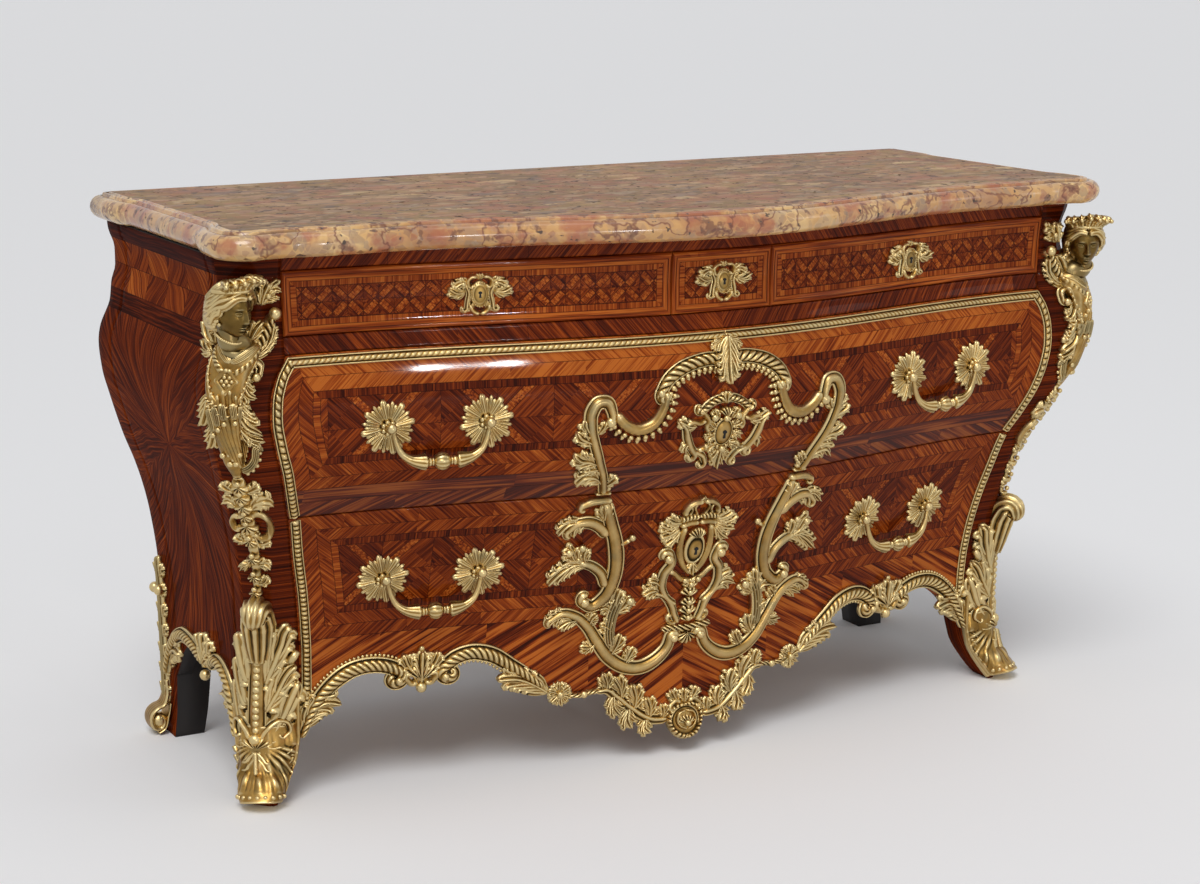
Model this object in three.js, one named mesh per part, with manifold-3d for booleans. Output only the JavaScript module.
// A bombe chest of drawers with a marble top, in millimetres, +Z up.
// The origin is on the floor under the middle of the chest, and the drawers open towards -Y.
import * as THREE from "three";
import Module from "manifold-3d";

const wasm = await Module();
wasm.setup();

// Overall sizes
const totalHeight = 864;
const marbleThickness = 40;
const marbleHalfWidth = 757;
const marbleHalfDepth = 342;
const seatGap = 0.3;
const drawerGap = 1.2;
const bodyTop = totalHeight - marbleThickness - seatGap;

// The swelling front: how far it lies forward of the middle plane, and how its middle bows out
const frontBase = 167;
const frontSwell = 119;
const frontSweep = 90;
const sweepReach = 660;
const frontSwellShares = [
  [0, 0.18], [0.03, 0.1], [0.06, 0.03], [0.115, 0], [0.21, 0.03], [0.3, 0.11], [0.38, 0.24],
  [0.44, 0.37], [0.51, 0.555], [0.556, 0.75], [0.61, 0.93], [0.66, 0.99], [0.7, 1], [0.74, 0.99],
  [0.79, 0.95], [0.82, 0.9], [0.87, 0.9], [0.9, 0.91], [0.93, 0.935], [1, 1],
];

// The swelling sides, and the line where the drawers meet the corner posts
const sideBase = 674;
const sideSwell = 85;
const sideSwellShares = [
  [0, 0.04], [0.06, 0], [0.15, 0], [0.25, 0.01], [0.33, 0.05], [0.42, 0.17], [0.47, 0.28],
  [0.516, 0.42], [0.563, 0.6], [0.594, 0.7], [0.648, 0.855], [0.685, 0.95], [0.738, 1],
  [0.765, 0.96], [0.79, 0.85], [0.81, 0.76], [0.848, 0.71], [0.872, 0.63], [0.905, 0.63],
  [0.94, 0.74], [1, 0.78],
];
const edgeBase = 600;
const edgeSwell = 77;
const edgeSwellShares = [
  [0, 0], [0.2, 0], [0.25, 0.01], [0.31, 0.06], [0.37, 0.15], [0.443, 0.31], [0.51, 0.45],
  [0.542, 0.57], [0.6, 0.77], [0.65, 0.93], [0.69, 1], [0.72, 0.985], [0.757, 0.87],
  [0.793, 0.65], [0.822, 0.65], [0.927, 0.69], [1, 0.69],
];

// Heights of the rails and drawer fronts, from the top down
const topRailHeight = 21.7;
const friezeHeight = 92.5;
const drawerRailHeight = 23.5;
const underRailGap = 1.6;
const friezeTop = bodyTop - topRailHeight;
const railTop = friezeTop - friezeHeight;
const railBottom = railTop - drawerRailHeight;
const upperTop = railBottom - underRailGap;
const upperDrawerHeight = 242.4;
const seamHeight = upperTop - upperDrawerHeight;
const apronEnd = 96;
const railDepth = 60;
const centreHalfWidth = 84.5;

// Boards and drawer boxes
const frontThickness = 24;
const boardThickness = 12;
const panelThickness = 24;
const panelOverlap = 2;
const backThickness = 14;
const backFace = 320;
const backInset = 4;
const bottomBoardTop = 208;
const boxWall = 10;
const boxBottom = 8;
const boxBack = 284;
const runnerGap = 0.4;
const friezeBoxHalfWidth = 640;
const upperBoxHalfWidth = 612;
const lowerBoxHalfWidth = 588;
const boxHeadroom = 8;
const partitionThickness = 8;
const backPanelBottom = 186;

// Corner posts, which run down into the legs
const postDepth = 70;
const postDepthShares = [[0, 0.62], [0.1, 0.66], [0.145, 0.8], [0.19, 1], [1, 1]];
const postCant = 40;
const postCantShares = [[0, 0.55], [0.2, 0.6], [0.5, 1], [1, 1]];
const toeWidth = 50;
const rearPostWidth = 56;
const rearPostDepth = 62;
const rearToeShare = 0.86;

// Lower edges of the front and side aprons
const apronDrop = 46;
const apronRise = 144;
const apronShares = [
  [0, 0], [0.03, 0.05], [0.1, 0.06], [0.13, 0.14], [0.16, 0.27], [0.21, 0.49], [0.3, 0.5],
  [0.385, 0.62], [0.438, 0.75], [0.5, 0.92], [0.56, 1], [0.62, 0.96], [0.68, 0.885], [0.75, 0.925],
  [0.8, 0.96], [0.85, 0.92], [0.9, 0.81], [0.943, 0.65], [1, 0.35],
];
const sideApronLow = 104;
const sideApronRise = 66;
const sideApronShares = [
  [0, 0], [0.07, 0.35], [0.14, 0.75], [0.25, 1], [0.5, 0.94], [0.75, 1], [0.86, 0.75],
  [0.93, 0.35], [1, 0],
];

// Marble slab: the plan of its nose and the section of its edge
const frontBow = 101;
const bowReach = 520;
const earReach = 690;
const earHollow = 10;
const earLength = 100;
const sideHollow = 11;
const noseRadius = 18;
const noseInset = 20;
const filletInset = 25;
const filletStep = 3.5;

// Gilt bronze: borders, rosettes, bails and studs
const borderWidth = 16;
const borderHeight = 6;
const borderInset = 1.5;
const sinkDepth = 2.5;
const upperRosetteDrop = 110.4;
const upperRosetteHeight = upperTop - upperRosetteDrop;
const lowerRosetteDrop = 112;
const lowerRosetteHeight = seamHeight - lowerRosetteDrop;
const upperRosetteMiddle = 436;
const lowerRosetteMiddle = 412;
const rosetteHalfSpan = 71;
const rosetteRadius = 41;
const rosetteDome = 6;
const rosetteLobes = 6;
const studRadius = 6;
const studSides = 6;
const studLength = 24;
const knobRadius = 8.5;
const bailDrop = 51;
const bailGap = 1.2;
const bailThickness = 4.6;
const bailSides = 5;
const castingHeight = 13;
const ridgeShare = 0.6;

// Locks
const lockHalfWidth = 30;
const lockHeight = 42;
const lockThickness = 14;
const lockDrop = 6;

const lerp = (a, b, t) => a + (b - a) * t;
const spread = (a, b, count) => Array.from({ length: count + 1 }, (_, i) => lerp(a, b, i / count));

// A smooth curve through a table of [place, value] shares, without overshoot
function curve(table) {
  const slopes = table.slice(1).map((p, i) => (p[1] - table[i][1]) / (p[0] - table[i][0]));
  const lean = table.map((_, i) => {
    const before = slopes[Math.max(i - 1, 0)];
    const after = slopes[Math.min(i, slopes.length - 1)];
    return before * after <= 0 ? 0 : (2 * before * after) / (before + after);
  });
  return (place) => {
    const t = Math.min(Math.max(place, table[0][0]), table[table.length - 1][0]);
    const i = Math.max(0, table.findLastIndex((p) => p[0] <= t && p !== table[table.length - 1]));
    const step = table[i + 1][0] - table[i][0];
    const s = (t - table[i][0]) / step;
    const rise = table[i + 1][1] - table[i][1];
    return (
      table[i][1] + rise * s * s * (3 - 2 * s) +
      step * s * (1 - s) * (lean[i] * (1 - s) - lean[i + 1] * s)
    );
  };
}

const frontCurve = curve(frontSwellShares);
const sideCurve = curve(sideSwellShares);
const edgeCurve = curve(edgeSwellShares);
const apronCurve = curve(apronShares);
const sideApronCurve = curve(sideApronShares);
const postDepthCurve = curve(postDepthShares);
const postCantCurve = curve(postCantShares);

const sweepAt = (x) => {
  const turn = (Math.PI / 2) * Math.min(Math.abs(x) / sweepReach, 1);
  return frontSweep * Math.sin(turn) ** 2;
};
const frontY = (x, z) => sweepAt(x) - frontBase - frontSwell * frontCurve(z / totalHeight);
const cornerY = (z) => frontY(sweepReach, z);
const sideX = (z) => sideBase + sideSwell * sideCurve(z / totalHeight);
const edgeX = (z) => edgeBase + edgeSwell * edgeCurve(z / totalHeight);
const apronZ = (share) => apronDrop + apronRise * apronCurve(Math.abs(share));

// Solids
function solid(points, faces) {
  const build = (flip) =>
    new wasm.Manifold(
      new wasm.Mesh({
        numProp: 3,
        vertProperties: new Float32Array(points.flat()),
        triVerts: new Uint32Array(faces.flatMap(([a, b, c]) => (flip ? [a, c, b] : [a, b, c]))),
      }),
    );
  const made = build(false);
  return made.volume() < 0 ? build(true) : made;
}

// A curved board: near and far give the points of its two faces for each column and row
function board(columns, rows, near, far) {
  const points = [];
  for (const face of [near, far]) for (const v of rows) for (const u of columns) points.push(face(u, v));
  const wide = columns.length;
  const size = wide * rows.length;
  const at = (face, i, j) => face * size + j * wide + i;
  const faces = [];
  const quad = (a, b, c, d) => faces.push([a, b, c], [a, c, d]);
  for (let j = 0; j + 1 < rows.length; j++) {
    for (let i = 0; i + 1 < wide; i++) {
      quad(at(0, i, j), at(0, i + 1, j), at(0, i + 1, j + 1), at(0, i, j + 1));
      quad(at(1, i, j), at(1, i, j + 1), at(1, i + 1, j + 1), at(1, i + 1, j));
    }
    quad(at(0, 0, j + 1), at(1, 0, j + 1), at(1, 0, j), at(0, 0, j));
    quad(at(0, wide - 1, j), at(1, wide - 1, j), at(1, wide - 1, j + 1), at(0, wide - 1, j + 1));
  }
  const last = rows.length - 1;
  for (let i = 0; i + 1 < wide; i++) {
    quad(at(0, i, 0), at(1, i, 0), at(1, i + 1, 0), at(0, i + 1, 0));
    quad(at(0, i + 1, last), at(1, i + 1, last), at(1, i, last), at(0, i, last));
  }
  return solid(points, faces);
}

// A solid through rings of points, closed at both ends
function loft(rings) {
  const count = rings[0].length;
  const points = rings.flat();
  const faces = [];
  for (let r = 0; r + 1 < rings.length; r++) {
    for (let i = 0; i < count; i++) {
      const a = r * count + i;
      const b = r * count + ((i + 1) % count);
      faces.push([a, b, b + count], [a, b + count, a + count]);
    }
  }
  const close = (ring, start, flip) => {
    const middle = [0, 1, 2].map((k) => ring.reduce((sum, p) => sum + p[k], 0) / count);
    points.push(middle);
    for (let i = 0; i < count; i++) {
      const pair = [start + i, start + ((i + 1) % count)];
      faces.push([points.length - 1, pair[flip ? 0 : 1], pair[flip ? 1 : 0]]);
    }
  };
  close(rings[0], 0, false);
  close(rings[rings.length - 1], (rings.length - 1) * count, true);
  return solid(points, faces);
}

const block = (low, high) =>
  board([low[0], high[0]], [low[2], high[2]], (x, z) => [x, low[1], z], (x, z) => [x, high[1], z]);
const join = (solids) => wasm.Manifold.union(solids);
const mirrored = (made) => made.mirror([1, 0, 0]);
const trim = (made, neighbour, shift) => made.subtract(neighbour.translate(shift));
const clearOf = (made, neighbour) => {
  const steps = [0, 1, 2].flatMap((axis) => [-seatGap, seatGap].map((step) => [0, 1, 2].map((k) => (k === axis ? step : 0))));
  return steps.reduce((left, step) => trim(left, neighbour, step), made);
};

// Surfaces that the bronze lies on: u and v run over the wood, w stands out from it
const frontFace = (u, v, w) => [u, frontY(u, v) - w, v];
const sideFace = (u, v, w) => [sideX(v) + w, u, v];

// A casting that follows a path over a surface, with widths and heights given as shares
function ribbon(face, path, width, height, widthShares, heightShares) {
  const widths = curve(widthShares);
  const heights = curve(heightShares);
  const last = path.length - 1;
  return loft(
    path.map(([u, v], i) => {
      const ahead = path[Math.min(i + 1, last)];
      const behind = path[Math.max(i - 1, 0)];
      const length = Math.hypot(ahead[0] - behind[0], ahead[1] - behind[1]);
      const across = [(behind[1] - ahead[1]) / length, (ahead[0] - behind[0]) / length];
      const half = (width / 2) * widths(i / last);
      const high = height * heights(i / last);
      const section = [[-1, -sinkDepth], [-ridgeShare, high], [ridgeShare, high], [1, -sinkDepth]];
      return section.map(([s, w]) => face(u + across[0] * half * s, v + across[1] * half * s, w));
    }),
  );
}

// A smooth path through a few chosen places
function route(places, steps) {
  const line = new THREE.CatmullRomCurve3(places.map(([u, v]) => new THREE.Vector3(u, v, 0)));
  return line.getPoints(steps).map((p) => [p.x, p.y]);
}

// A domed boss, round or with a lobed rim
function boss(face, u, v, radius, height, rimShare = 1, lobes = 5) {
  const rim = (w, scale) =>
    Array.from({ length: lobes * 2 }, (_, i) => {
      const turn = (Math.PI * i) / lobes;
      const reach = radius * scale * (i % 2 ? rimShare : 1);
      return face(u + reach * Math.cos(turn), v + reach * Math.sin(turn), w);
    });
  return loft([rim(-sinkDepth, 1), rim(height, ridgeShare)]);
}

const group = new THREE.Group();
const finishes = {
  wood: [0x6b2f16, 0.3, 0],
  darkWood: [0x3d1c10, 0.4, 0],
  oak: [0x9a7040, 0.7, 0],
  bronze: [0xb8954a, 0.35, 1],
  marble: [0xc9a682, 0.25, 0],
  iron: [0x3a3835, 0.5, 1],
};

function add(name, made, finish) {
  const mesh = made.getMesh();
  const geometry = new THREE.BufferGeometry();
  geometry.setAttribute("position", new THREE.BufferAttribute(mesh.vertProperties, 3));
  geometry.setIndex(new THREE.BufferAttribute(mesh.triVerts, 1));
  geometry.computeVertexNormals();
  const [color, roughness, metalness] = finishes[finish];
  const piece = new THREE.Mesh(geometry, new THREE.MeshStandardMaterial({ color, roughness, metalness }));
  piece.name = name;
  group.add(piece);
  return made;
}

function addPair(name, right, finish) {
  const left = mirrored(right);
  add(`left_${name}`, left, finish);
  add(`right_${name}`, right, finish);
  return { left, right };
}

// Corner posts and legs
const lowerRows = spread(apronEnd, seamHeight - drawerGap, 7);
const upperRows = spread(seamHeight + drawerGap, upperTop, 6);
const friezeRows = spread(railTop + drawerGap, friezeTop, 3);
const railBase = friezeTop + drawerGap;
const legRows = spread(0, apronEnd, 3);
const postRows = [
  ...legRows.slice(0, -1), ...lowerRows, ...upperRows, railBottom, railTop, ...friezeRows, railBase, bodyTop,
];

const innerX = (z) => {
  const toe = sideX(0) - toeWidth;
  return z < apronEnd ? lerp(toe, edgeX(apronEnd) + drawerGap, (z / apronEnd) ** 0.7) : edgeX(z) + drawerGap;
};
const postBackY = (z) => cornerY(z) + postDepth * postDepthCurve(z / totalHeight);
const cantAt = (z) => postCant * postCantCurve(z / totalHeight);
const frontPost = loft(
  postRows.map((z) => {
    const inner = innerX(z);
    const cant = Math.min(cantAt(z), sideX(z) - inner);
    return [
      [inner, frontY(inner, z), z],
      [sideX(z) - cant, cornerY(z), z],
      [sideX(z), cornerY(z) + cant, z],
      [sideX(z), postBackY(z), z],
      [inner, postBackY(z), z],
    ];
  }),
);
const rearPostY = (z) => backFace - rearPostDepth * lerp(rearToeShare, 1, Math.min(z / sideApronLow, 1));
const rearPost = loft(
  postRows.map((z) => {
    const inner = sideX(z) - rearPostWidth * lerp(rearToeShare, 1, Math.min(z / sideApronLow, 1));
    return [
      [inner, rearPostY(z), z],
      [sideX(z), rearPostY(z), z],
      [sideX(z), backFace, z],
      [inner, backFace, z],
    ];
  }),
);
const frontPosts = addPair("front_leg_post", frontPost, "wood");
addPair("rear_leg_post", rearPost, "wood");

// Side panels, each with its shaped lower edge, cut to meet the front post
const sidePanelBack = backFace - rearPostDepth - seatGap;
const sidePoint = (u, v, inset) => {
  const z = lerp(sideApronLow + sideApronRise * sideApronCurve(u), bodyTop, v);
  return [sideX(z) - inset, lerp(postBackY(z) - panelOverlap, sidePanelBack, u), z];
};
const sidePanel = board(
  spread(0, 1, 6),
  spread(0, 1, 8),
  (u, v) => sidePoint(u, v, 0),
  (u, v) => sidePoint(u, v, panelThickness),
);
const postRoom = [0, panelOverlap, -panelOverlap].map((dx) => [dx, seatGap, 0]);
const fittedPanel = postRoom.reduce((panel, shift) => trim(panel, frontPost, shift), sidePanel);
const sidePanels = addPair("side_panel", fittedPanel, "wood");

// Back panel between the rear posts
const panelEdge = (z) => sideX(z) - rearPostWidth - seatGap;
const backRows = [backPanelBottom, ...postRows.filter((z) => z > backPanelBottom)];
add(
  "back_panel",
  board(
    [-1, 1],
    backRows,
    (u, z) => [u * panelEdge(z), backFace - backInset - backThickness, z],
    (u, z) => [u * panelEdge(z), backFace - backInset, z],
  ),
  "oak",
);

// Rails across the front
const acrossShares = spread(-1, 1, 16);
const railEdge = (z) => edgeX(z) + drawerGap - seatGap;
const rail = (low, high) =>
  board(
    acrossShares,
    [low, high],
    (u, z) => [u * railEdge(z), frontY(u * railEdge(z), z), z],
    (u, z) => [u * railEdge(z), frontY(u * railEdge(z), z) + railDepth, z],
  );
add("front_top_rail", rail(railBase, bodyTop), "wood");
add("drawer_rail", rail(railBottom, railTop), "wood");

// Dustboards and the bottom board, notched round the corner posts
const boardBack = backFace - backInset - backThickness - seatGap;
const behindFront = frontThickness + drawerGap;
function dustboard(top, setBack) {
  const half = Math.min(sideX(top), sideX(top - boardThickness)) - panelThickness - seatGap;
  const plain = board(
    acrossShares,
    [top - boardThickness, top],
    (u, z) => [u * half, Math.max(frontY(u * half, top), frontY(u * half, top - boardThickness)) + setBack, z],
    (u, z) => [u * half, boardBack, z],
  );
  const posts = [frontPosts.right, rearPost].flatMap((post) =>
    [[-seatGap, seatGap], [-seatGap, -seatGap]].map(([dx, dy]) => post.translate([dx, dy, 0])),
  );
  return posts.reduce((left, post) => left.subtract(post).subtract(mirrored(post)), plain);
}
const partition = board(
  [centreHalfWidth - partitionThickness / 2, centreHalfWidth + partitionThickness / 2],
  [railTop - boardThickness / 2, friezeTop],
  (x, z) => [x, frontY(x, railTop) + railDepth + drawerGap, z],
  (x, z) => [x, boardBack, z],
);
add(
  "upper_dustboard",
  join([dustboard(railTop, railDepth + drawerGap), partition, mirrored(partition)]),
  "oak",
);
add("middle_dustboard", dustboard(seamHeight, behindFront), "oak");
add("bottom_board", dustboard(bottomBoardTop, behindFront), "oak");

// Marble top: the plan of the nose, drawn in from level to level
const halfPlan = [
  ...spread(0, bowReach, 6).map((x) => {
    const turn = ((Math.PI / 2) * x) / bowReach;
    return [x, frontBow * Math.sin(turn) ** 2 - marbleHalfDepth];
  }),
  [(bowReach + earReach) / 2, frontBow - marbleHalfDepth],
  [earReach - earLength / 2, frontBow + earHollow - marbleHalfDepth],
  [earReach, frontBow + earHollow / 2 - marbleHalfDepth],
  ...spread(0, Math.PI / 2, 3).map((turn) => {
    const radius = marbleHalfWidth - earReach - earHollow;
    return [
      earReach + earHollow + radius * Math.sin(turn),
      frontBow - marbleHalfDepth + radius * (1 - Math.cos(turn)),
    ];
  }),
  [marbleHalfWidth, frontBow - marbleHalfDepth + earLength],
  [marbleHalfWidth - sideHollow, frontBow - marbleHalfDepth + earLength * 1.5],
  [marbleHalfWidth - sideHollow, 0],
  [marbleHalfWidth - sideHollow, marbleHalfDepth - earLength * 1.5],
  [marbleHalfWidth, marbleHalfDepth - earLength / 2],
  [marbleHalfWidth, marbleHalfDepth],
];
const plan = [...halfPlan, ...halfPlan.slice(1).reverse().map(([x, y]) => [-x, y])];
const planAt = (inset, z) =>
  plan.map(([x, y], i) => {
    const ahead = plan[(i + 1) % plan.length];
    const behind = plan[(i + plan.length - 1) % plan.length];
    const flat = y === marbleHalfDepth;
    const run = [ahead[0] - behind[0], ahead[1] - behind[1]];
    const length = Math.hypot(...run);
    return flat ? [x - Math.sign(x) * inset, y, z] : [x - (run[1] / length) * inset, y + (run[0] / length) * inset, z];
  });
const underside = totalHeight - marbleThickness;
const edgeLevels = [
  ...spread(-Math.PI / 2, Math.PI / 3, 3).map((turn) => [
    noseRadius * (1 - Math.cos(turn)), underside + noseRadius * (1 + Math.sin(turn)),
  ]),
  [noseInset, totalHeight - filletStep],
  [filletInset, totalHeight - filletStep / 2],
  [filletInset, totalHeight],
];
add("marble_top", loft(edgeLevels.map(([inset, z]) => planAt(inset, z))), "marble");

// Drawer fronts
const rowsOf = (shares, low, high) => shares.map((share) => lerp(low, high, share));
const panelMargin = 9;
const panelRise = 3;
function friezeFront(left, right) {
  const wide = (t, z) => lerp(left(z), right(z), t);
  const high = friezeTop - railTop - drawerGap;
  const inset = panelMargin / high;
  const rows = rowsOf([0, inset, 0.5, 1 - inset, 1], railTop + drawerGap, friezeTop);
  const span = right(railTop) - left(railTop);
  const columns = [0, ...spread(panelMargin / span, 1 - panelMargin / span, Math.ceil(span / panelMargin / 7)), 1];
  const raised = (t, z) => (t === 0 || t === 1 || z === rows[0] || z === rows[rows.length - 1] ? 0 : panelRise);
  return board(
    columns,
    rows,
    (t, z) => [wide(t, z), frontY(wide(t, z), z) - raised(t, z), z],
    (t, z) => [wide(t, z), frontY(wide(t, z), z) + frontThickness, z],
  );
}
const seamLeft = () => -centreHalfWidth + drawerGap / 2;
const seamRight = () => centreHalfWidth - drawerGap / 2;
const outerLeft = (z) => -edgeX(z);
const outerRight = (z) => edgeX(z);
const friezeFronts = {
  left: friezeFront(outerLeft, () => -centreHalfWidth - drawerGap / 2),
  centre: friezeFront(seamLeft, seamRight),
  right: friezeFront(() => centreHalfWidth + drawerGap / 2, outerRight),
};
for (const [side, made] of Object.entries(friezeFronts)) add(`frieze_${side}_front`, made, "wood");

const upperFront = board(
  acrossShares,
  upperRows,
  (u, z) => [u * edgeX(z), frontY(u * edgeX(z), z), z],
  (u, z) => [u * edgeX(z), frontY(u * edgeX(z), z) + frontThickness, z],
);
add("upper_drawer_front", upperFront, "wood");

const apronColumns = [...new Set(apronShares.flatMap(([x]) => [-x, x]))].sort((a, b) => a - b);
const lowerPoint = (u, v, back) => {
  const z = lerp(apronZ(u), seamHeight - drawerGap, v);
  const x = u * edgeX(z);
  return [x, frontY(x, z) + back, z];
};
const lowerFront = board(
  apronColumns,
  spread(0, 1, lowerRows.length - 1),
  (u, v) => lowerPoint(u, v, 0),
  (u, v) => lowerPoint(u, v, frontThickness),
);
const nibRadius = 11;
const nibShares = [[0.5, 0], [1, 0.25], [0.9, 0.6], [0.6, 1]];
const nibTop = apronDrop - seatGap;
const nib = loft(
  nibShares.map(([wide, down]) =>
    Array.from({ length: 8 }, (_, i) => {
      const turn = (Math.PI * i) / 4;
      return [
        nibRadius * wide * Math.cos(turn),
        frontY(0, nibTop) + frontThickness / 2 + nibRadius * wide * Math.sin(turn),
        lerp(apronDrop + boardThickness / 3, apronDrop - nibRadius * 2, down),
      ];
    }),
  ),
);
const lowerFrontWithNib = add("lower_drawer_front", join([lowerFront, nib]), "wood");

// Drawer boxes, open above, each fitted to the back of its front
function drawerBox(name, front, left, right, low, high) {
  const columns = spread(left, right, 6);
  const rows = spread(low, high, 4);
  const shell = board(
    columns,
    rows,
    (x, z) => [x, frontY(x, z) + frontThickness, z],
    (x, z) => [x, boxBack, z],
  );
  const cavity = block(
    [left + boxWall, -marbleHalfDepth, low + boxBottom],
    [right - boxWall, boxBack - boxWall, high + boxWall],
  );
  add(`${name}_box`, trim(shell, front, [0, seatGap, 0]).subtract(cavity), "oak");
}
const friezeBoxLow = railTop + runnerGap;
const friezeBoxHigh = friezeTop - boxHeadroom;
const besidePartition = centreHalfWidth + partitionThickness / 2 + drawerGap;
const centreBoxHalf = centreHalfWidth - partitionThickness / 2 - drawerGap;
const upperBoxLow = seamHeight + runnerGap;
const lowerBoxLow = bottomBoardTop + runnerGap;
const lowerBoxHigh = seamHeight - boardThickness - drawerGap;
drawerBox("frieze_left", friezeFronts.left, -friezeBoxHalfWidth, -besidePartition, friezeBoxLow, friezeBoxHigh);
drawerBox("frieze_centre", friezeFronts.centre, -centreBoxHalf, centreBoxHalf, friezeBoxLow, friezeBoxHigh);
drawerBox("frieze_right", friezeFronts.right, besidePartition, friezeBoxHalfWidth, friezeBoxLow, friezeBoxHigh);
drawerBox("upper_drawer", upperFront, -upperBoxHalfWidth, upperBoxHalfWidth, upperBoxLow, upperTop - boxHeadroom);
drawerBox("lower_drawer", lowerFront, -lowerBoxHalfWidth, lowerBoxHalfWidth, lowerBoxLow, lowerBoxHigh);

// Locks behind the drawer fronts, with closed cases
const friezeMiddle = (edgeX(friezeTop) + centreHalfWidth) / 2;
function addLock(name, x, top, front) {
  const clear = frontThickness + seatGap;
  const high = top - lockDrop;
  const made = board(
    [x - lockHalfWidth, x, x + lockHalfWidth],
    [high - lockHeight, high],
    (u, z) => [u, frontY(u, z) + clear, z],
    (u, z) => [u, frontY(u, z) + clear + lockThickness, z],
  );
  add(`${name}_lock`, trim(made, front, [0, seatGap, 0]), "iron");
}
addLock("frieze_left", -friezeMiddle, friezeTop, friezeFronts.left);
addLock("frieze_centre", 0, friezeTop, friezeFronts.centre);
addLock("frieze_right", friezeMiddle, friezeTop, friezeFronts.right);
addLock("upper_drawer", 0, upperTop, upperFront);
addLock("lower_drawer", 0, lowerBoxHigh, lowerFront);

// Bronze on the fronts is set on the wood, or on what lies between
const seated = (made, ...carriers) => carriers.reduce((left, wood) => trim(left, wood, [0, -seatGap, 0]), made);
const flat = [[0, 1], [1, 1]];
const taper = [[0, 0.35], [0.5, 1], [1, 0.3]];

const borderLine = borderInset + borderWidth / 2;
const sideLine = (low, high, count) => spread(low, high, count).map((z) => [edgeX(z) - borderLine, z]);
const topLine = spread(1, -1, 10).map((t) => [
  t * (edgeX(upperTop) - borderLine - borderWidth), upperTop - borderLine,
]);
const risingSide = sideLine(seamHeight + drawerGap + borderInset, upperTop - borderLine, 7);
const upperBorder = join([
  ribbon(frontFace, risingSide, borderWidth, borderHeight, flat, flat),
  ribbon(frontFace, topLine, borderWidth, borderHeight, flat, flat),
  mirrored(ribbon(frontFace, risingSide, borderWidth, borderHeight, flat, flat)),
  ...[1, -1].map((side) => {
    const reach = edgeX(upperTop) - borderLine;
    const corner = ribbon(
      frontFace, spread(reach + borderWidth / 2, reach - borderWidth * 1.5, 2).map((x) => [x, upperTop - borderLine]),
      borderWidth, borderHeight, flat, flat,
    );
    return side > 0 ? corner : mirrored(corner);
  }),
]);
const upperBorderMade = add("upper_border", seated(upperBorder, upperFront), "bronze");
const lowerBorder = ribbon(
  frontFace, sideLine(apronEnd + borderWidth, seamHeight - drawerGap - borderInset, 6),
  borderWidth, borderHeight, flat, flat,
);
const lowerBorders = {
  right: seated(lowerBorder, lowerFront),
  left: seated(mirrored(lowerBorder), lowerFront),
};
for (const [side, made] of Object.entries(lowerBorders)) add(`lower_${side}_border`, made, "bronze");

// Places on the two long drawers, as shares of half the width and of the height of the front
const onUpper = ([x, z]) => [x * edgeBase, lerp(seamHeight, upperTop, z)];
const onLower = ([x, z]) => [x * edgeBase, z * seamHeight];

// Upper cartouche: two C-scrolls that meet at a clasp and run down to the seam
const archShares = [[0, 0.82], [0.075, 0.82], [0.133, 0.78], [0.17, 0.69], [0.182, 0.63]];
const fringeShares = [
  [0.16, 0.627], [0.17, 0.528], [0.197, 0.458], [0.235, 0.44], [0.27, 0.487], [0.3, 0.565],
  [0.325, 0.61], [0.35, 0.57],
];
const cartoucheLegShares = [[0.346, 0.6], [0.353, 0.48], [0.338, 0.35], [0.317, 0.23], [0.293, 0.11], [0.285, 0.04]];
const claspShares = [[0, 0.955], [0, 0.86], [0, 0.72]];
const scrollWidth = 22;
const halfCartouche = join([
  ribbon(frontFace, route(archShares.map(onUpper), 4), scrollWidth, castingHeight, flat, flat),
  ribbon(frontFace, route(fringeShares.map(onUpper), 8), scrollWidth, castingHeight, [[0, 1], [1, 0.8]], flat),
  ribbon(frontFace, route(cartoucheLegShares.map(onUpper), 4), scrollWidth, castingHeight, taper, flat),
]);
const upperCartouche = join([
  halfCartouche,
  mirrored(halfCartouche),
  ribbon(frontFace, claspShares.map(onUpper), scrollWidth * 1.2, castingHeight * 1.3, flat, flat),
]);
add("upper_cartouche", clearOf(seated(upperCartouche, upperFront), upperBorderMade), "bronze");

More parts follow.
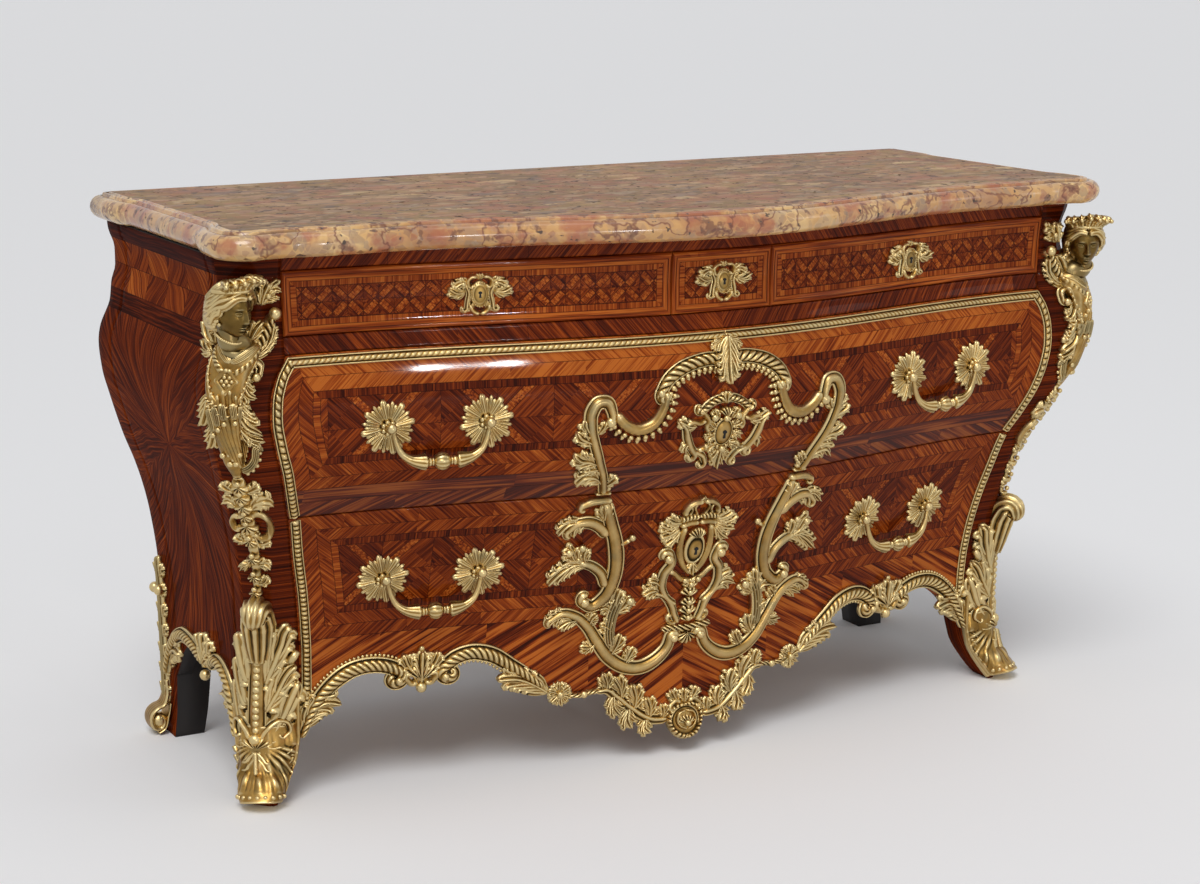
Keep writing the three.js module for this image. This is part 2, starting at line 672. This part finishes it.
// Lower cartouche: a branch with two twigs on each side, and the scroll that it stands on
const branchShares = [
  [0.245, 0.965], [0.247, 0.883], [0.228, 0.815], [0.218, 0.746], [0.22, 0.675], [0.24, 0.61],
  [0.273, 0.586],
];
const upperTwigShares = [[0.25, 0.85], [0.298, 0.897], [0.333, 0.897], [0.363, 0.86]];
const lowerTwigShares = [[0.232, 0.64], [0.282, 0.73], [0.323, 0.76], [0.383, 0.685]];
const baseScrollShares = [
  [0.382, 0.56], [0.325, 0.563], [0.275, 0.52], [0.24, 0.448], [0.207, 0.378], [0.15, 0.34],
  [0.092, 0.348], [0.055, 0.385],
];
const baseStemShares = [[0.213, 0.6], [0.218, 0.538], [0.222, 0.42]];
const voluteRadius = 12;
const lowerCartouche = join([
  ribbon(frontFace, route(branchShares.map(onLower), 7), scrollWidth, castingHeight, flat, flat),
  ribbon(frontFace, route(upperTwigShares.map(onLower), 3), scrollWidth * 0.8, castingHeight, taper, flat),
  ribbon(frontFace, route(lowerTwigShares.map(onLower), 3), scrollWidth * 0.8, castingHeight, taper, flat),
  ribbon(frontFace, route(baseScrollShares.map(onLower), 8), scrollWidth, castingHeight, taper, flat),
  ribbon(frontFace, route(baseStemShares.map(onLower), 2), scrollWidth, castingHeight, flat, flat),
  boss(frontFace, ...onLower([0.273, 0.6]), voluteRadius, castingHeight),
  boss(frontFace, ...onLower([0.21, 0.6]), voluteRadius, castingHeight),
  boss(frontFace, ...onLower([0.05, 0.41]), voluteRadius, castingHeight),
]);
add("lower_right_cartouche", seated(lowerCartouche, lowerFront), "bronze");
add("lower_left_cartouche", seated(mirrored(lowerCartouche), lowerFront), "bronze");

// A plate with an outline round one point, given for its right half from the top down
function plate(face, u, v, halfOutline, high) {
  const left = halfOutline.filter(([x]) => x > 0).reverse().map(([x, y]) => [-x, y]);
  const ring = (w, scale) => [...halfOutline, ...left].map(([x, y]) => face(u + x * scale, v + y * scale, w));
  return loft([ring(-sinkDepth, 1), ring(high, ridgeShare)]);
}
const scaled = (shares, wide, high) => shares.map(([x, y]) => [x * wide, y * high]);

// Keyholes: a round hole over a slot, cut a little way into each escutcheon
const keyholeRadius = 3.2;
const keyholeLength = 8;
function keyhole(x, z) {
  const slotLevel = -keyholeRadius / 2;
  const outline = spread(Math.PI / 8, (15 * Math.PI) / 8, 7).map((turn) => {
    const [u, v] = [keyholeRadius * Math.cos(turn), keyholeRadius * Math.sin(turn)];
    return [x + u, z + (v < slotLevel ? v - keyholeLength : v)];
  });
  const at = (y) => outline.map(([u, v]) => [u, y, v]);
  return loft([at(frontY(x, z) - castingHeight * 2), at(frontY(x, z) - sinkDepth)]);
}

const friezeShieldShares = [
  [0, 0.86], [0.36, 0.9], [0.46, 0.4], [0.72, 0.5], [1, 0.3], [0.9, 0.05], [0.55, 0], [0.44, -0.6],
  [0.2, -0.95], [0, -1],
];
const friezeShieldWidth = 44;
const friezeShieldHeight = 30;
const friezeShieldLevel = (railTop + friezeTop) / 2;
const shieldHeight = 9;
for (const [side, x, front] of [
  ["left", -friezeMiddle, friezeFronts.left],
  ["centre", 0, friezeFronts.centre],
  ["right", friezeMiddle, friezeFronts.right],
]) {
  const outline = scaled(friezeShieldShares, friezeShieldWidth, friezeShieldHeight);
  const shield = plate(frontFace, x, friezeShieldLevel, outline, shieldHeight + panelRise);
  add(`frieze_${side}_escutcheon`, seated(shield, front).subtract(keyhole(x, friezeShieldLevel)), "bronze");
}

const upperShieldShares = [
  [0, 1], [0.28, 0.9], [0.52, 0.72], [0.5, 0.48], [0.8, 0.4], [1, 0.42], [0.92, 0.03], [0.74, -0.25],
  [0.6, -0.6], [0.34, -0.62], [0.2, -0.9], [0, -0.95],
];
const upperShieldWidth = 76;
const upperShieldHeight = 57;
const upperShieldLevel = lerp(seamHeight, upperTop, 0.365);
const upperOutline = scaled(upperShieldShares, upperShieldWidth, upperShieldHeight);
const upperShield = plate(frontFace, 0, upperShieldLevel, upperOutline, shieldHeight);
add(
  "upper_escutcheon",
  seated(upperShield, upperFront).subtract(keyhole(0, upperShieldLevel)),
  "bronze",
);

// Lower escutcheon: a shield under a crown, between scrolls that rise from a barred foot
const trophyStemShares = [[0.035, 0.47], [0.04, 0.57], [0.015, 0.64], [0.055, 0.66], [0.078, 0.71]];
const trophyTwigShares = [[0.03, 0.56], [0.08, 0.6], [0.13, 0.61]];
const trophyArmShares = [[0.03, 0.79], [0.07, 0.84], [0.105, 0.835]];
const halfTrophy = join([
  ribbon(frontFace, route(trophyStemShares.map(onLower), 5), scrollWidth * 0.6, castingHeight, flat, flat),
  ribbon(frontFace, route(trophyTwigShares.map(onLower), 2), scrollWidth * 0.6, castingHeight, taper, flat),
  ribbon(frontFace, route(trophyArmShares.map(onLower), 2), scrollWidth * 0.7, castingHeight, taper, flat),
  boss(frontFace, ...onLower([0.075, 0.72]), voluteRadius * 0.8, castingHeight),
]);
const shieldLevel = 0.755;
const trophy = join([
  halfTrophy,
  mirrored(halfTrophy),
  boss(frontFace, ...onLower([0, shieldLevel]), scrollWidth * 1.5, castingHeight, 1, 5),
  boss(frontFace, ...onLower([0, 0.865]), scrollWidth * 1.3, castingHeight, 0.75, 5),
  boss(frontFace, ...onLower([0, 0.67]), scrollWidth, castingHeight),
  ribbon(frontFace, [[-0.078, 0.465], [0, 0.465], [0.078, 0.465]].map(onLower), scrollWidth * 0.6, castingHeight, flat, flat),
  ribbon(frontFace, [[0, 0.43], [0, 0.55], [0, 0.66]].map(onLower), scrollWidth * 0.8, castingHeight, flat, flat),
]);
add("lower_escutcheon", seated(trophy, lowerFront).subtract(keyhole(...onLower([0, shieldLevel]))), "bronze");

// Front apron mount: rope arches, shells, a rosette, leaves and the middle pendant
const ropeWidth = 26;
const ropeOffset = 9;
const apronPath = (from, to, count, offset) =>
  spread(from, to, count).map((share) => {
    const step = 0.01;
    const run = [2 * step * edgeBase, apronZ(share + step) - apronZ(share - step)];
    const length = Math.hypot(...run);
    return [share * edgeBase - (run[1] / length) * offset, apronZ(share) + (run[0] / length) * offset];
  });
const outerRopeShares = [0.975, 0.75];
const innerRopeShares = [0.645, 0.36];
const leafShares = [0.215, 0.03];
const halfApron = join([
  ribbon(frontFace, apronPath(...outerRopeShares, 4, ropeOffset), ropeWidth, castingHeight, [[0, 0.4], [0.3, 1], [1, 1]], flat),
  ribbon(frontFace, apronPath(...innerRopeShares, 5, ropeOffset), ropeWidth, castingHeight, [[0, 1], [0.7, 1], [1, 0.6]], flat),
  ribbon(frontFace, apronPath(innerRopeShares[1], leafShares[0], 3, ropeOffset / 2), ropeWidth * 0.6, castingHeight, flat, flat),
  ribbon(frontFace, apronPath(...leafShares, 4, ropeOffset), ropeWidth * 1.3, castingHeight, [[0, 0.6], [0.5, 1], [1, 0.8]], flat),
  boss(frontFace, ...apronPath(0.745, 0.745, 1, ropeOffset / 2)[0], ropeWidth * 0.6, castingHeight),
  boss(frontFace, ...apronPath(0.655, 0.655, 1, ropeOffset / 2)[0], ropeWidth * 0.6, castingHeight),
  boss(frontFace, ...apronPath(0.7, 0.7, 1, ropeOffset * 1.6)[0], ropeWidth, castingHeight * 1.2, 0.8, 5),
  boss(frontFace, ...apronPath(0.355, 0.355, 1, ropeOffset)[0], ropeWidth * 0.8, castingHeight, 0.7, 5),
]);
const pendantShares = [[0, 1], [0.5, 0.95], [0.75, 0.5], [1, 0.1], [0.8, -0.5], [0.4, -0.9], [0, -1]];
const pendantWidth = 34;
const pendantHeight = 36;
const pendantLevel = apronDrop + pendantHeight / 3;
const pendant = plate(frontFace, 0, pendantLevel, scaled(pendantShares, pendantWidth, pendantHeight), castingHeight * 1.3);
const frontApron = join([halfApron, mirrored(halfApron), pendant]);
const besideBorders = [lowerBorders.left, lowerBorders.right].reduce(clearOf, seated(frontApron, lowerFrontWithNib));
add("front_apron_mount", besideBorders, "bronze");

// Rosettes with their studs, and the bails that hang between them
const bailPivot = studLength - knobRadius;
const turned = (sides) => spread(0, Math.PI * 2, sides).slice(1);
function rosette(x, z) {
  const stud = loft(
    [
      [studRadius, 0], [studRadius, studLength - knobRadius * 2], [knobRadius, bailPivot - knobRadius / 2],
      [knobRadius, bailPivot + knobRadius / 2], [knobRadius / 2, studLength],
    ].map(([radius, w]) =>
      turned(studSides).map((turn) => [
        x + radius * Math.cos(turn), frontY(x, z) - w, z + radius * Math.sin(turn),
      ]),
    ),
  );
  return join([boss(frontFace, x, z, rosetteRadius, rosetteDome, 0.85, rosetteLobes), stud]);
}
const bailPathShares = [
  [1, 0], [0.93, 0.03], [0.89, 0.2], [0.82, 0.6], [0.62, 0.92], [0.25, 1], [0.13, 1], [0, 1],
];
const bailRadiusShares = [0.6, 0.8, 0.9, 1, 1.1, 1.3, 1, 1.95];
function bail(x, z) {
  const ends = [-1, 1].map((side) => {
    const place = x + side * rosetteHalfSpan;
    return [place, frontY(place, z) - bailPivot];
  });
  const run = [ends[1][0] - ends[0][0], ends[1][1] - ends[0][1]];
  const length = Math.hypot(...run);
  const along = [run[0] / length, run[1] / length];
  const outward = [along[1], -along[0]];
  const reach = length / 2 - knobRadius - bailGap;
  const middle = [(ends[0][0] + ends[1][0]) / 2, (ends[0][1] + ends[1][1]) / 2];
  const half = bailPathShares.map(([u, v], i) => [u * reach, -v * bailDrop, bailRadiusShares[i] * bailThickness]);
  const line = [...half, ...half.slice(0, -1).reverse().map(([u, v, r]) => [-u, v, r])];
  const last = line.length - 1;
  return loft(
    line.map(([u, v, radius], i) => {
      const ahead = line[Math.min(i + 1, last)];
      const behind = line[Math.max(i - 1, 0)];
      const step = Math.hypot(ahead[0] - behind[0], ahead[1] - behind[1]);
      const ends = i === 0 || i === last;
      const across = ends ? [0, -1] : [(behind[1] - ahead[1]) / step, (ahead[0] - behind[0]) / step];
      return turned(bailSides).map((turn) => {
        const side = radius * Math.cos(turn);
        const out = radius * Math.sin(turn);
        const sweep = u + across[0] * side;
        return [
          middle[0] + along[0] * sweep + outward[0] * out,
          middle[1] + along[1] * sweep + outward[1] * out,
          z + v + across[1] * side,
        ];
      });
    }),
  );
}
for (const [level, z, middle, front] of [
  ["upper", upperRosetteHeight, upperRosetteMiddle, upperFront],
  ["lower", lowerRosetteHeight, lowerRosetteMiddle, lowerFront],
]) {
  for (const [side, sign] of [["left", -1], ["right", 1]]) {
    for (const [place, offset] of [["inner", -1], ["outer", 1]]) {
      const x = sign * (middle + offset * rosetteHalfSpan);
      add(`${level}_${side}_${place}_rosette`, seated(rosette(x, z), front), "bronze");
    }
    add(`${level}_${side}_bail`, bail(sign * middle, z), "bronze");
  }
}

// Castings that wrap a canted corner: half widths and heights at each level, as shares
function cornerCasting(levels, wide, high, centre, tangent, outward) {
  return loft(
    levels.map(([level, w, h]) => {
      const half = wide * w;
      const [cx, cy, z] = centre(level);
      const arc = spread(0, Math.PI, 3).map((turn) => [half * Math.cos(turn), high * h * Math.sin(turn)]);
      const back = Math.max(half - cantAt(z) / Math.SQRT2, 0) + sinkDepth * 2;
      return [...arc, [-half, -back], [half, -back]].map(([t, o]) => [
        cx + tangent[0] * t + outward[0] * o,
        cy + tangent[1] * t + outward[1] * o,
        z,
      ]);
    }),
  );
}
const diagonal = Math.SQRT1_2;
const cornerCentre = (z) => [sideX(z) - cantAt(z) / 2, cornerY(z) + cantAt(z) / 2, z];
const footMountTop = 345;
const cornerShares = [
  [1, 0.3, 0.3], [0.96, 0.7, 0.65], [0.92, 0.85, 0.98], [0.86, 0.8, 1], [0.79, 0.55, 0.6],
  [0.75, 0.85, 0.6], [0.66, 0.95, 0.7], [0.5, 0.8, 0.5], [0.38, 0.55, 0.36], [0.25, 0.52, 0.32],
  [0.12, 0.36, 0.25], [0, 0.2, 0.16],
];
const footShares = [
  [1, 0.35, 0.5], [0.96, 0.8, 0.9], [0.75, 0.75, 0.7], [0.6, 0.85, 0.62], [0.3, 0.9, 0.6],
  [0.16, 1, 0.75], [0.07, 1, 1], [0, 0.85, 0.9],
];
const bustWidth = 36;
const bustHeight = 48;
const sabotWidth = 34;
const sabotHeight = 26;
const bustTop = bodyTop - castingHeight;
const cornerGap = castingHeight / 4;
const cornerPiece = (shares, low, high, wide, out) =>
  cornerCasting(
    shares, wide, out, (level) => cornerCentre(lerp(low, high, level)), [diagonal, diagonal], [diagonal, -diagonal],
  );
const aroundPost = (made) =>
  [[seatGap, -seatGap], [0, -seatGap], [seatGap, 0]].reduce((left, [dx, dy]) => trim(left, frontPost, [dx, dy, 0]), made);
const bust = cornerPiece(cornerShares, footMountTop + cornerGap, bustTop, bustWidth, bustHeight);
addPair("corner_mount", aroundPost(bust), "bronze");
const sabot = cornerPiece(footShares, 0, footMountTop, sabotWidth, sabotHeight);
addPair("foot_mount", aroundPost(sabot), "bronze");

// Rear foot mounts: a strip with a ball on the outer face of each rear leg, over a scrolled toe
const rearStripTop = 292;
const rearMountSetIn = 16;
const rearShares = [
  [1, 0.5, 0.25], [0.84, 0.5, 0.3], [0.8, 0.95, 1], [0.76, 0.95, 1], [0.72, 0.5, 0.4],
  [0.5, 0.6, 0.45], [0.36, 0.8, 0.6], [0.25, 0.7, 0.8], [0.16, 0.85, 1.2], [0.08, 1, 2.4],
  [0.03, 1, 2.5], [0, 0.9, 2.1],
];
const rearWidth = 13;
const rearHeight = 14;
const rearCasting = cornerCasting(
  rearShares, rearWidth, rearHeight,
  (level) => [sideX(level * rearStripTop), backFace - rearMountSetIn, level * rearStripTop],
  [0, 1],
  [1, 0],
);
addPair("rear_foot_mount", trim(rearCasting, rearPost, [seatGap, 0, 0]), "bronze");

// Side apron mounts: rope arches that meet at a shell
const sideRopeWidth = 24;
const sideEdge = (u) => {
  const z = sideApronLow + sideApronRise * sideApronCurve(u);
  return [lerp(postBackY(z), sidePanelBack, u), z + ropeOffset];
};
const sideApron = join([
  ribbon(sideFace, spread(0.06, 0.94, 8).map(sideEdge), sideRopeWidth, castingHeight, [[0, 0.6], [0.2, 1], [0.8, 1], [1, 0.6]], flat),
  boss(sideFace, ...sideEdge(0.5), sideRopeWidth, castingHeight * 1.2, 0.8, 7),
]);
const besidePost = trim(sideApron, frontPost, [0, seatGap, 0]);
addPair(
  "apron_mount",
  trim(trim(besidePost, rearPost, [0, -seatGap, 0]), sidePanels.right, [seatGap, 0, 0]),
  "bronze",
);

export default group;
